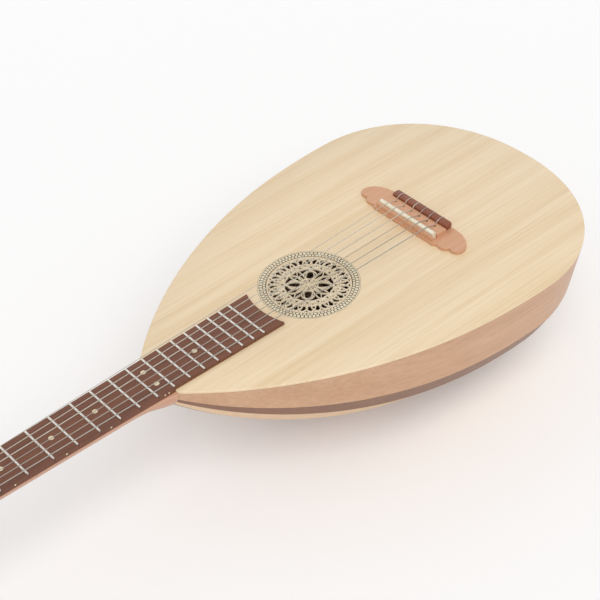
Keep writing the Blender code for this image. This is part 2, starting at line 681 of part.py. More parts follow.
def machine_plate_mesh():
    """One side plate with its six bearing ears, X towards the body, Z out of the head's side."""
    low_x, high_x = -ROLLER_U[2] - AXIS_DISTANCE - 0.008, -ROLLER_U[0] + 0.009
    flat = [(low_x, -EAR_HALF_HEIGHT), (high_x, -EAR_HALF_HEIGHT), (high_x, EAR_HALF_HEIGHT),
            (low_x, EAR_HALF_HEIGHT)]
    side = piece("plate_blank", plate("plate_blank", [flat], PLATE_INNER, PLATE_OUTER), NICKEL)
    ears = []
    for u in ROLLER_U:
        x = -u - AXIS_DISTANCE
        for low, high in ((-EAR_HALF_HEIGHT, EAR_THICKNESS - EAR_HALF_HEIGHT),
                          (EAR_HALF_HEIGHT - EAR_THICKNESS, EAR_HALF_HEIGHT)):
            ears.append(((x - 0.0042, low, PLATE_INNER + FIT), (x + 0.0042, high, GEAR_MID + 0.004)))
    boolean(side, piece("ears", boxes("ears", ears)), "UNION")
    posts = [((-u, 0, PLATE_INNER - 0.002), (-u, 0, PLATE_OUTER + 0.002)) for u in ROLLER_U]
    shafts = [((-u - AXIS_DISTANCE, -0.012, GEAR_MID), (-u - AXIS_DISTANCE, 0.012, GEAR_MID)) for u in ROLLER_U]
    boolean(side, piece("post_holes", rods("post_holes", posts, POST_RADIUS + FIT)), "DIFFERENCE")
    boolean(side, piece("shaft_holes", rods("shaft_holes", shafts, SHAFT_RADIUS + FIT, 12)), "DIFFERENCE")
    return frozen(side)


def worm_phase():
    """Turn of the worm that puts a gap of its thread opposite the gear's tooth."""
    return math.pi


def machine_heads():
    """Two plates, six rollers and six buttons, each on its own axis."""
    plate_mesh, roller, shaft = machine_plate_mesh(), roller_mesh(), shaft_mesh()
    for side, word in ((-1, "bass"), (1, "treble")):
        turn = (-side * math.pi / 2, 0, 0)
        piece(f"machine_plate_{word}", plate_mesh, NICKEL, head, (0, 0, ROLLER_W), turn)
        for number, u in enumerate(ROLLER_U, 1):
            piece(f"roller_{word}_{number}", roller, BRASS, head, (-u, 0, ROLLER_W), turn)
            place = (-u - AXIS_DISTANCE, side * GEAR_MID, ROLLER_W)
            piece(f"tuner_{word}_{number}", shaft, NICKEL, head, place, (0, 0, worm_phase()))


# Strings


def string_points(number):
    """Centre line of one string, from its hole in the bridge to the last turn on its roller."""
    radius = STRING_RADII[number]
    at_saddle = string_offsets(SADDLE_SPREAD)[number]
    at_nut = string_offsets(NUT_SPREAD)[number]
    crest = Vector((SADDLE_X, at_saddle, STRING_AT_SADDLE + radius))
    over_nut = Vector((-0.0010, at_nut, STRING_AT_NUT + radius))
    low = BRIDGE_THICKNESS + FIT + radius
    points = [Vector((HOLE_X, at_saddle, low)), Vector((HOLE_X, at_saddle, BLOCK_TOP - 0.0004)),
              Vector((HOLE_X - 0.0005, at_saddle, BLOCK_TOP + 0.0007)),
              Vector((HOLE_X - 0.0020, at_saddle, BLOCK_TOP + 0.0015)),
              Vector((SADDLE_X + 0.0012, at_saddle, crest.z - 0.0002)), crest]
    points += [crest.lerp(over_nut, share) for share in (0.25, 0.5, 0.75)]
    points.append(over_nut)
    side = 1 if at_nut > 0 else -1
    order = number if side > 0 else 5 - number
    u = ROLLER_U[order]
    local = HEAD_FRAME.inverted() @ over_nut
    wrap_radius = BARREL_RADIUS + FIT + radius
    far = Vector((-local.x - u, local.z - ROLLER_W))
    reach = math.hypot(far.x, far.y)
    start = math.acos(wrap_radius / reach) + math.atan2(far.x, far.y)
    places = ((0.0176, -1), (0.0120, 1), (0.0096, 1))[order]
    pitch = 2 * radius + WRAP_GAP
    for i in range(int(WRAP_TURNS * WRAP_POINTS) + 1):
        turn = i / WRAP_POINTS
        angle = start + math.tau * turn
        y = side * (places[0] + places[1] * pitch * turn)
        points.append(HEAD_FRAME @ Vector((-u - wrap_radius * math.sin(angle), y,
                                           ROLLER_W + wrap_radius * math.cos(angle))))
    return points


def least_gap(points, radius):
    """The smallest clear distance between turns of one winding, measured on its points."""
    wound = points[-(int(WRAP_TURNS * WRAP_POINTS) + 1):]
    apart = WRAP_POINTS // 2
    gaps = [(a - b).length for i, a in enumerate(wound) for b in wound[i + apart:]]
    return min(gaps) - 2 * radius


def strings():
    """Three plain and three wound strings, each one unbroken tube."""
    for number in range(6):
        radius = STRING_RADII[number]
        points = string_points(number)
        name = f"string_{number + 1}"
        curve = bpy.data.curves.new(name, "CURVE")
        curve.dimensions = "3D"
        curve.bevel_depth = radius
        curve.bevel_resolution = 1
        curve.use_fill_caps = True
        spline = curve.splines.new("POLY")
        spline.points.add(len(points) - 1)
        for point, place in zip(spline.points, points):
            point.co = (*place, 1)
        curve.materials.append(NYLON if number < 3 else SILVER_WOUND)
        wire = bpy.data.objects.new(name, curve)
        wire.parent = instrument
        parts.objects.link(wire)
        print(f"{name}: least gap between turns {1000 * least_gap(points, radius):.2f} mm")


soundboard()
ribs()
end_blocks()
rose()
neck()
fingerboard()
frets()
nut()
bridge()
machine_heads()
strings()
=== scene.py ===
"""Looks of the lute guitar: woods, inlays, strings, fittings, floor, light and camera.

Sizes are in metres. Points are worked out in the instrument's own frame, where x is counted from the
nut's front face, y to the treble side and z up from the top's outer face, and are shifted at the end.
"""
import logging
import math
from dataclasses import dataclass, field
from enum import Enum
from functools import cache

import bmesh
import bpy
import numpy as np
from mathutils import Matrix


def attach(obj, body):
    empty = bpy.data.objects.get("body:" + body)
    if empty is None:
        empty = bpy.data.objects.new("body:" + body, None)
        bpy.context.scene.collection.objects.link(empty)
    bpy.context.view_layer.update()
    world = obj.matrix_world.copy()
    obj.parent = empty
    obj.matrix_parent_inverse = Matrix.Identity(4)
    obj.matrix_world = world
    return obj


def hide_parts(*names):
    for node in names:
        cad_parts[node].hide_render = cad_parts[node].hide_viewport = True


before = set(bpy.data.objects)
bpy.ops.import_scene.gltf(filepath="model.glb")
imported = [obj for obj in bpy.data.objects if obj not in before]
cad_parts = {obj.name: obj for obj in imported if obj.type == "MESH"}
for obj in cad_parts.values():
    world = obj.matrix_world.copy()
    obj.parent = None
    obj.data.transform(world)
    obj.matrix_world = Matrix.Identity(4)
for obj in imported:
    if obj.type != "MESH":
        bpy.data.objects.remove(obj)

LOG = logging.getLogger("lute_guitar")
MERGE_DISTANCE = 2e-6
FLAT_ANGLE = math.radians(1.0)
BEVEL_STEPS = 2

Colour = tuple[int, int, int]
Value = float | tuple | bpy.types.NodeSocket


class Side(Enum):
    """The two sides of the instrument, by the sign of y."""

    BASS = -1
    TREBLE = 1


class Facing(Enum):
    """The two faces of the fingerboard that hold dots."""

    UP = "up"
    BASS_EDGE = "bass_edge"


class Slot(Enum):
    """Material slots of the record."""

    SPRUCE = "spruce"
    PALE_RIB = "pale_rib"
    DARK_RIB = "dark_rib"
    ROSEWOOD = "rosewood"
    PEARWOOD = "pearwood"
    BONE = "bone"
    NICKEL = "nickel"
    BRASS = "brass"
    NYLON = "nylon"
    SILVER_WOUND = "silver_wound"
    BLOCK_WOOD = "block_wood"


def box_corners(node: str) -> np.ndarray:
    """Reads the box round a CAD node.

    Args:
        node: Name of the node.

    Returns:
        Its low corner and its high corner.
    """
    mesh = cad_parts[node].data
    flat = np.zeros(len(mesh.vertices) * 3)
    mesh.vertices.foreach_get("co", flat)
    points = flat.reshape(-1, 3)
    return np.stack([points.min(axis=0), points.max(axis=0)])


# The fingerboard begins at the nut's front face, and the soundboard's highest points are its outer face.
SHIFT = np.array([box_corners("fingerboard")[0][0], 0.0, box_corners("soundboard")[1][2]])


def linear(colour: Colour) -> tuple[float, float, float, float]:
    """Turns a screen colour of 0 to 255 into linear light.

    Each value is divided by 255, and then either by 12.92 where it is small, or raised to the power 2.4
    after 0.055 is added and the sum divided by 1.055.

    Args:
        colour: Red, green and blue as written on a screen.

    Returns:
        Linear red, green, blue and an opacity of one.
    """
    share = np.array(colour) / 255.0
    light = np.where(share <= 0.04045, share / 12.92, ((share + 0.055) / 1.055) ** 2.4)
    return (*[float(value) for value in light], 1.0)


class Nodes:
    """A tree of nodes and a short way to place and join them."""

    def __init__(self, tree: bpy.types.NodeTree) -> None:
        """Takes the tree that the nodes go into."""
        self.tree = tree

    def put(self, socket: bpy.types.NodeSocket, value: Value) -> None:
        """Sets an input to a value, or links it where the value is a socket.

        Args:
            socket: The input.
            value: Its value, or the socket that feeds it.
        """
        if isinstance(value, bpy.types.NodeSocket):
            self.tree.links.new(value, socket)
        else:
            socket.default_value = value

    def node(self, kind: str, values: dict[str | int, Value] | None = None,
             **settings: str) -> bpy.types.Node:
        """Adds a node.

        Args:
            kind: Blender's name of the node type.
            values: Input name or number and its value, or the socket that feeds it.
            settings: Properties of the node.

        Returns:
            The new node.
        """
        made = self.tree.nodes.new(kind)
        for key, setting in settings.items():
            setattr(made, key, setting)
        for key, value in (values or {}).items():
            self.put(made.inputs[key], value)
        return made


class Shader(Nodes):
    """The nodes of one material."""

    # Numbers of the sockets that a Mix node uses for colours.
    MIX_SHARE, MIX_FIRST, MIX_SECOND, MIX_RESULT = 0, 6, 7, 2

    def __init__(self, name: str) -> None:
        """Starts a material that has only its surface node.

        Args:
            name: Name of the material.
        """
        self.material = bpy.data.materials.new(name)
        self.material.use_nodes = True
        super().__init__(self.material.node_tree)
        self.surface = self.tree.nodes["Principled BSDF"]

    def feed(self, name: str, value: Value) -> None:
        """Sets or links one input of the surface node."""
        self.put(self.surface.inputs[name], value)

    def ramp(self, source: Value, places: tuple[float, float], low: tuple,
             high: tuple) -> bpy.types.NodeSocket:
        """Maps a value to two colours and the blend between them.

        Args:
            source: Socket of the value.
            places: Values, from 0 to 1, where the blend starts and ends.
            low: Linear colour up to the first place.
            high: Linear colour from the second place on.

        Returns:
            The colour's socket.
        """
        made = self.node("ShaderNodeValToRGB", {"Fac": source})
        for element, place, colour in zip(made.color_ramp.elements, places, (low, high)):
            element.position = place
            element.color = colour
        return made.outputs["Color"]

    def mix(self, share: Value, first: Value, second: Value) -> bpy.types.NodeSocket:
        """Mixes two colours.

        Args:
            share: How much of the second colour there is, from 0 to 1.
            first: The first colour.
            second: The second colour.

        Returns:
            The mixed colour's socket.
        """
        made = self.node("ShaderNodeMix", {self.MIX_SHARE: share, self.MIX_FIRST: first,
                                           self.MIX_SECOND: second}, data_type="RGBA")
        return made.outputs[self.MIX_RESULT]

    def bump(self, height: Value, depth: float, strength: float) -> None:
        """Raises the surface by a value.

        Args:
            height: Socket of the height, from 0 to 1.
            depth: Distance in metres that a height of one stands for.
            strength: How much of it is seen, from 0 to 1.
        """
        made = self.node("ShaderNodeBump", {"Height": height, "Distance": depth, "Strength": strength})
        self.feed("Normal", made.outputs["Normal"])

    def noise(self, scale: float, detail: float) -> bpy.types.NodeSocket:
        """Makes an even noise on Object coordinates.

        Args:
            scale: Cycles in a metre.
            detail: Number of finer layers.

        Returns:
            The socket of its value.
        """
        place = self.node("ShaderNodeTexCoord").outputs["Object"]
        made = self.node("ShaderNodeTexNoise", {"Vector": place, "Scale": scale, "Detail": detail})
        return made.outputs["Fac"]


@dataclass(frozen=True)
class Wood:
    """A planed and varnished wood with its grain along x.

    Colours are screen colours. Grain, broad bands and pores are three noises, which the seed moves. The
    grain has its cycles in a metre across and along it. A band is as wide as several grain lines and has
    its own cycles along. The pores' cycles are multiples of the grain's.
    """

    name: str
    pale: Colour
    deep: Colour
    pore: Colour
    across: float = 520.0
    along: float = 9.0
    pores: float = 0.25
    roughness: float = 0.42
    seed: float = 0.0
    seed_steps: tuple[float, float, float] = (1.0, 0.37, 0.61)
    grain_edges: tuple[float, float] = (0.30, 0.62)
    band_along: float = 2.5
    lines_in_band: float = 9.0
    band_edges: tuple[float, float] = (0.34, 0.66)
    band_share: float = 0.45
    pore_along: float = 28.0
    pore_across: float = 3.2
    pore_edges: tuple[float, float] = (0.60, 0.70)
    varnish: float = 0.25
    varnish_roughness: float = 0.22
    depth: float = 0.00006
    relief: float = 0.5

    def stretched(self, shader: Shader, along: float, across: float, **inputs: float) -> bpy.types.NodeSocket:
        """Makes a noise on Object coordinates that is stretched along the grain.

        Args:
            shader: The material.
            along: Cycles in a metre along the grain.
            across: Cycles in a metre across it.
            inputs: The noise's other inputs.

        Returns:
            The socket of its value.
        """
        place = shader.node("ShaderNodeTexCoord").outputs["Object"]
        offset = tuple(self.seed * step for step in self.seed_steps)
        laid = shader.node("ShaderNodeMapping", {"Vector": place, "Location": offset,
                                                 "Scale": (along, across, across)})
        made = shader.node("ShaderNodeTexNoise", {"Vector": laid.outputs[0], "Scale": 1.0, **inputs})
        return made.outputs["Fac"]

    def make(self) -> bpy.types.Material:
        """Builds the material: grain lines mixed with broad bands of tone, and short dark pores over both.

        Returns:
            The material.
        """
        shader = Shader(self.name)
        deep, pale = linear(self.deep), linear(self.pale)
        grain = self.stretched(shader, self.along, self.across, Detail=5.0, Roughness=0.6, Distortion=0.35)
        bands = self.stretched(shader, self.band_along, self.across / self.lines_in_band, Detail=3.0)
        dots = self.stretched(shader, self.along * self.pore_along, self.across * self.pore_across,
                              Detail=2.0)
        lines = shader.ramp(grain, self.grain_edges, deep, pale)
        toned = shader.mix(self.band_share, lines, shader.ramp(bands, self.band_edges, deep, pale))
        mask = shader.ramp(dots, self.pore_edges, (0, 0, 0, 1), (self.pores, self.pores, self.pores, 1))
        shader.feed("Base Color", shader.mix(mask, toned, linear(self.pore)))
        shader.feed("Roughness", self.roughness)
        shader.feed("Coat Weight", self.varnish)
        shader.feed("Coat Roughness", self.varnish_roughness)
        shader.bump(grain, self.depth, self.relief)
        return shader.material


@dataclass(frozen=True)
class Metal:
    """A turned or plated metal with faint rubbing marks."""

    name: str
    colour: Colour
    worn: Colour
    roughness: float = 0.25
    scale: float = 900.0
    detail: float = 4.0
    mark_edges: tuple[float, float] = (0.35, 0.6)
    gloss_range: tuple[float, float] = (0.7, 1.5)
    depth: float = 0.00002
    relief: float = 0.4

    def make(self) -> bpy.types.Material:
        """Builds the material: tone and roughness vary by one fine noise.

        Returns:
            The material.
        """
        shader = Shader(self.name)
        marks = shader.noise(self.scale, self.detail)
        shader.feed("Base Color", shader.ramp(marks, self.mark_edges, linear(self.worn), linear(self.colour)))
        low, high = self.gloss_range
        gloss = shader.node("ShaderNodeMapRange", {"Value": marks, "To Min": self.roughness * low,
                                                   "To Max": self.roughness * high})
        shader.feed("Roughness", gloss.outputs["Result"])
        shader.feed("Metallic", 1.0)
        shader.bump(marks, self.depth, self.relief)
        return shader.material


@dataclass(frozen=True)
class Smooth:
    """Bone, nylon or stained filler: a plain body with clouds of tone."""

    name: str
    pale: Colour
    deep: Colour
    roughness: float = 0.35
    scale: float = 240.0
    detail: float = 5.0
    cloud_edges: tuple[float, float] = (0.3, 0.65)
    light_within: float = 0.04
    light_depth: float = 0.001
    depth: float = 0.00003
    relief: float = 0.4

    def make(self) -> bpy.types.Material:
        """Builds the material: soft clouds, a little light within the body and a faint bump.

        Returns:
            The material.
        """
        shader = Shader(self.name)
        cloud = shader.noise(self.scale, self.detail)
        shader.feed("Base Color", shader.ramp(cloud, self.cloud_edges, linear(self.deep), linear(self.pale)))
        shader.feed("Roughness", self.roughness)
        shader.feed("Subsurface Weight", self.light_within)
        shader.feed("Subsurface Scale", self.light_depth)
        shader.bump(cloud, self.depth, self.relief)
        return shader.material


@dataclass(frozen=True)
class Winding:
    """Fine wire wound round a string's core, read from the string's own map; its dark groove colour is
    painted shade between the turns.
    """

    name: str
    colour: Colour
    # Colour of painted shade in the grooves between turns of wire.
    groove_shade: Colour
    groove_shade_edges: tuple[float, float] = (0.1, 0.6)
    metallic: float = 0.85
    roughness: float = 0.35
    depth: float = 0.00005
    relief: float = 0.6

    def make(self) -> bpy.types.Material:
        """Builds the material: painted shade in the grooves, in a sine wave along the map's u.

        Returns:
            The material.
        """
        shader = Shader(self.name)
        place = shader.node("ShaderNodeTexCoord").outputs["UV"]
        wave = shader.node("ShaderNodeTexWave", {"Vector": place, "Scale": 1.0, "Distortion": 0.0},
                           bands_direction="X", wave_profile="SIN").outputs["Fac"]
        # The low colour is painted shade that falls between the turns of wire.
        low, high = linear(self.groove_shade), linear(self.colour)
        shader.feed("Base Color", shader.ramp(wave, self.groove_shade_edges, low, high))
        shader.feed("Metallic", self.metallic)
        shader.feed("Roughness", self.roughness)
        shader.bump(wave, self.depth, self.relief)
        return shader.material


Finish = Wood | Metal | Smooth | Winding

SPRUCE = Wood("spruce_top", (244, 223, 189), (228, 199, 156), (200, 164, 118), across=620.0, pores=0.12)
ROSE_WOOD = Wood("rose_spruce", (236, 222, 196), (216, 198, 166), (186, 164, 128), across=700.0, pores=0.12)
PALE_RIBS = (
    Wood("maple_rib_a", (218, 174, 138), (198, 150, 114), (168, 120, 86), across=260.0, seed=0.7),
    Wood("maple_rib_b", (250, 214, 170), (234, 192, 148), (196, 150, 108), across=240.0, seed=3.1),
    Wood("maple_rib_c", (222, 178, 142), (202, 156, 118), (172, 124, 90), across=280.0, seed=5.9),
)
DARK_RIB = Wood("walnut_strip", (146, 96, 62), (114, 70, 42), (80, 46, 28), across=420.0, pores=0.5, seed=2.2)
BOARD = Wood("rosewood_board", (128, 74, 44), (92, 48, 27), (48, 24, 15), along=14.0, pores=0.7,
             roughness=0.5, seed=1.3)
TIE = Wood("rosewood_tie", (150, 82, 50), (112, 56, 34), (60, 28, 18), along=14.0, pores=0.6)
NECK = Wood("pear_neck", (221, 172, 142), (203, 150, 120), (178, 122, 94), across=330.0, seed=4.4)
BRIDGE_WOOD = Wood("pear_bridge", (220, 168, 132), (202, 148, 112), (176, 120, 88), across=380.0, seed=6.2)
BLOCK = Wood("block_spruce", (214, 182, 140), (190, 154, 112), (160, 122, 84), across=300.0, roughness=0.7)
NICKEL = Metal("nickel_plate", (214, 212, 206), (170, 168, 162), roughness=0.22)
FRET_WIRE = Metal("fret_wire", (236, 234, 228), (204, 200, 192), roughness=0.3, scale=600.0)
BRASS = Metal("brass_roller", (214, 178, 104), (168, 132, 70), roughness=0.28)
BONE = Smooth("bone", (246, 240, 222), (228, 218, 190), roughness=0.32)
CREAM = Smooth("cream_inlay", (240, 228, 198), (220, 204, 168), roughness=0.4, scale=500.0)
DARK_INLAY = Smooth("stained_inlay", (72, 44, 32), (46, 26, 20), roughness=0.45, scale=500.0)
NYLON = Smooth("nylon", (206, 200, 186), (184, 176, 160), roughness=0.25, scale=700.0)
# The second colour is painted shade for the grooves between turns of wire.
WOUND = Winding("wound_string", (196, 190, 180), (118, 110, 100))


@cache
def finish_of(kind: Finish) -> bpy.types.Material:
    """Returns the finish's material, which is built once."""
    return kind.make()


def cell_corners(rows: int, columns: int, ring: bool) -> np.ndarray:
    """Lists the four corners of each cell of a grid whose rows close on themselves.

    Args:
        rows: Number of rows of points.
        columns: Number of points in a row.
        ring: Joins the last row to the first.

    Returns:
        One line of four point numbers for each cell.
    """
    row, column = np.meshgrid(np.arange(rows if ring else rows - 1), np.arange(columns), indexing="ij")
    next_row, next_column = (row + 1) % rows, (column + 1) % columns
    corners = (row * columns + column, next_row * columns + column,
               next_row * columns + next_column, row * columns + next_column)
    return np.stack(corners, axis=-1).reshape(-1, 4)


def surface(name: str, points: np.ndarray, ring: bool = False, sharp: float = 40.0,
            uv: np.ndarray | None = None) -> bpy.types.Mesh:
    """Makes a closed mesh from a grid of points whose rows close on themselves.

    The last row is joined to the first, or else each of the two gets a flat cap.

    Args:
        name: Name of the mesh.
        points: Array of rows by columns by three, in the instrument's frame.
        ring: Joins the last row to the first.
        sharp: Edges steeper than this many degrees stay sharp.
        uv: Array of rows by columns by two for the mesh's map.

    Returns:
        The mesh, with its faces pointing out.
    """
    rows, columns, _ = points.shape
    faces = cell_corners(rows, columns, ring).tolist()
    if not ring:
        faces += [list(range(columns))[::-1], list(range((rows - 1) * columns, rows * columns))]
    mesh = bpy.data.meshes.new(name)
    mesh.from_pydata((points.reshape(-1, 3) + SHIFT).tolist(), [], faces)
    if uv is not None:
        corner = np.zeros(len(mesh.loops), dtype=np.int32)
        mesh.loops.foreach_get("vertex_index", corner)
        layer = mesh.uv_layers.new(name="UVMap")
        layer.data.foreach_set("uv", uv.reshape(-1, 2)[corner].astype(np.float32).ravel())
    turned = bmesh.new()
    turned.from_mesh(mesh)
    bmesh.ops.recalc_face_normals(turned, faces=turned.faces)
    turned.to_mesh(mesh)
    turned.free()
    mesh.shade_smooth()
    mesh.set_sharp_from_angle(angle=math.radians(sharp))
    return mesh


def place_piece(name: str, mesh: bpy.types.Mesh, finishes: list[Finish], body: str = "body",
                stands_for: tuple[str, ...] = ()) -> bpy.types.Object:
    """Adds a piece to the scene and ties it to its body.

    Args:
        name: Name of the piece.
        mesh: Its mesh, already in place.
        finishes: Finishes in the order of the mesh's material numbers.
        body: The body it moves with.
        stands_for: CAD nodes that it replaces.

    Returns:
        The new object.
    """
    for kind in finishes:
        mesh.materials.append(finish_of(kind))
    made = bpy.data.objects.new(name, mesh)
    bpy.context.scene.collection.objects.link(made)
    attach(made, body)
    if stands_for:
        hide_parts(*stands_for)
    LOG.info("piece %s", name)
    return made


def merged_copy(node: str, name: str, bevel: float, finish: Finish, body: str = "body",
                sharp: float = 32.0) -> None:
    """Stands a merged and softened copy in for a CAD node whose shape is right.

    Args:
        node: The CAD node.
        name: Name of the copy.
        bevel: Width of its rounded edges, or 0 for none.
        finish: Its finish.
        body: The body it moves with.
        sharp: Edges steeper than this many degrees stay sharp and take the bevel.
    """
    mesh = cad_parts[node].data.copy()
    mesh.materials.clear()
    work = bmesh.new()
    work.from_mesh(mesh)
    bmesh.ops.remove_doubles(work, verts=work.verts, dist=MERGE_DISTANCE)
    bmesh.ops.dissolve_limit(work, angle_limit=FLAT_ANGLE, verts=work.verts, edges=work.edges)
    work.to_mesh(mesh)
    work.free()
    if "custom_normal" in mesh.attributes:
        mesh.attributes.remove(mesh.attributes["custom_normal"])
    mesh.shade_smooth()
    mesh.set_sharp_from_angle(angle=math.radians(sharp))
    made = place_piece(name, mesh, [finish], body, (node,))
    if bevel:
        soft = made.modifiers.new("soft_edges", "BEVEL")
        soft.width = bevel
        soft.segments = BEVEL_STEPS
        soft.limit_method = "ANGLE"
        soft.angle_limit = math.radians(sharp)
        soft.harden_normals = True


def tube(path: np.ndarray, radius: float, sides: int, map_scale: float) -> tuple[np.ndarray, np.ndarray]:
    """Carries a circle along a path that never runs along y.

    The ring at each point is the point plus the radius times the cosine along the side vector and the
    sine along the vector square to both; the side vector is the tangent crossed with y.

    Args:
        path: Points of the centre line.
        radius: The circle's radius.
        sides: Points in each ring.
        map_scale: How far the map's u runs in a metre of the path.

    Returns:
        The grid of points and its map.
    """
    tangent = np.gradient(path, axis=0)
    tangent /= np.linalg.norm(tangent, axis=1, keepdims=True)
    side = np.cross(tangent, np.array([0.0, 1.0, 0.0]))
    side /= np.linalg.norm(side, axis=1, keepdims=True)
    across = np.cross(tangent, side)
    angle = np.linspace(0.0, math.tau, sides, endpoint=False)[None, :, None]
    ring = np.cos(angle) * side[:, None, :] + np.sin(angle) * across[:, None, :]
    length = np.concatenate([[0.0], np.cumsum(np.linalg.norm(np.diff(path, axis=0), axis=1))])
    along = np.broadcast_to(length[:, None] * map_scale, (len(path), sides))
    round_it = np.broadcast_to(angle[:, :, 0] / math.tau, (len(path), sides))
    return path[:, None, :] + radius * ring, np.stack([along, round_it], axis=-1)


@dataclass
class Outline:
    """The body's outline: a blunt egg, widest near the bridge."""

    start: float = 0.3253
    widest: float = 0.682
    half: float = 0.1673
    front: float = 0.3811
    tail: float = 0.1446
    front_powers: tuple[float, float] = (2.17, 0.851)
    tail_powers: tuple[float, float] = (2.08, 0.464)
    end_angle: float = math.radians(87.3)

    def half_width(self, x: np.ndarray) -> np.ndarray:
        """Works out half the width at x.

        On each side of the widest place it is the greatest half width times one minus the share of the
        way to the end raised to the first power, all raised to the second.

        Args:
            x: Distances behind the nut.

        Returns:
            Half widths.
        """
        ahead = np.clip((self.widest - x) / self.front, 0.0, 1.0)
        behind = np.clip((x - self.widest) / self.tail, 0.0, 1.0)
        (sharp, blunt), (tail_sharp, tail_blunt) = self.front_powers, self.tail_powers
        return self.half * (1 - ahead ** sharp) ** blunt * (1 - behind ** tail_sharp) ** tail_blunt

    def stations(self, front: int, tail: int) -> np.ndarray:
        """Spreads places along x, evenly in front and by equal angles round the tail.

        Args:
            front: Number of places in front of the widest one.
            tail: Number of steps from the widest place to the tail's end.

        Returns:
            Distances behind the nut.
        """
        even = self.start + (self.widest - self.start) * np.arange(front) / front
        round_tail = self.tail * np.sin(np.linspace(0, self.end_angle, tail + 1))
        return np.concatenate([even, self.widest + round_tail])

    def inset(self, x: np.ndarray, depth: float) -> tuple[np.ndarray, np.ndarray]:
        """Places a line inside the outline, by a depth along the outline's normal.

        Args:
            x: Distances behind the nut on the outline.
            depth: How far inside.

        Returns:
            The line's distances and half widths.
        """
        step = 1e-6
        slope = (self.half_width(x + step) - self.half_width(x - step)) / (2 * step)
        length = np.hypot(1.0, slope)
        return x + depth * slope / length, self.half_width(x) - depth / length


@dataclass
class Bowl:
    """Eleven flat staves, pale and dark in turn.

    The spans are the angles in degrees of the five staves between the bass edge and the middle one.
    """

    outline: Outline = field(default_factory=Outline)
    spans: tuple[float, ...] = (24.0, 10.5, 18.5, 10.5, 21.25)
    thickness: float = 0.002
    top: float = 0.0028
    joint: float = 0.0001
    flat_steps: int = 5
    front_steps: int = 70
    tail_steps: int = 36

    def corner(self, x: np.ndarray, radius: np.ndarray, degrees: float, shift: float) -> np.ndarray:
        """Finds a stave's corner in each half round section, no higher than the bowl's top edge.

        At an angle from the bass edge downwards, y and z are the radius times minus its cosine and sine.

        Args:
            x: Distances behind the nut.
            radius: The sections' radii.
            degrees: The corner's angle.
            shift: Distance along the section that it is moved by.

        Returns:
            One point for each section.
        """
        lowest = np.degrees(np.arcsin(self.top / radius))
        angle = np.radians(np.clip(degrees, lowest, 180 - lowest)) + shift / radius
        return np.stack([x, -radius * np.cos(angle), -radius * np.sin(angle)], axis=-1)

    def stave(self, low: float, high: float, first: float, last: float) -> np.ndarray:
        """Carries a stave's section along the bowl: straight outside from corner to corner, and inside.

        Args:
            low: Angle of its first edge in degrees.
            high: Angle of its second edge.
            first: How far its first edge stands back for the joint.
            last: The same for its second edge, below zero.

        Returns:
            The grid of points.
        """
        x = self.outline.stations(self.front_steps, self.tail_steps)
        radius = self.outline.half_width(x)
        inner_x, inner_radius = self.outline.inset(x, self.thickness)
        share = np.linspace(0, 1, self.flat_steps)[None, :, None]
        edge = self.corner(x, radius, low, first)[:, None, :]
        far_edge = self.corner(x, radius, high, last)[:, None, :]
        inner = [self.corner(inner_x, inner_radius, high, last),
                 self.corner(inner_x, inner_radius, low, first)]
        return np.concatenate([edge * (1 - share) + far_edge * share, np.stack(inner, axis=1)], axis=1)

    def build(self) -> None:
        """Builds the staves; their bounds mirror about the middle of the bowl."""
        bounds = np.concatenate([[0.0], np.cumsum(self.spans)])
        bounds = np.concatenate([bounds, 180 - bounds[::-1]])
        count = len(bounds) - 1
        for number, (low, high) in enumerate(zip(bounds[:-1], bounds[1:]), 1):
            grid = self.stave(low, high, self.joint if number > 1 else 0.0,
                              -self.joint if number < count else 0.0)
            pale = number % 2 == 1
            kind = PALE_RIBS[(number // 2) % len(PALE_RIBS)] if pale else DARK_RIB
            name = f"stave_{number:02d}"
            node = f"rib_{number:02d}_{'pale' if pale else 'dark'}"
            place_piece(name, surface(name, grid), [kind], stands_for=(node,))


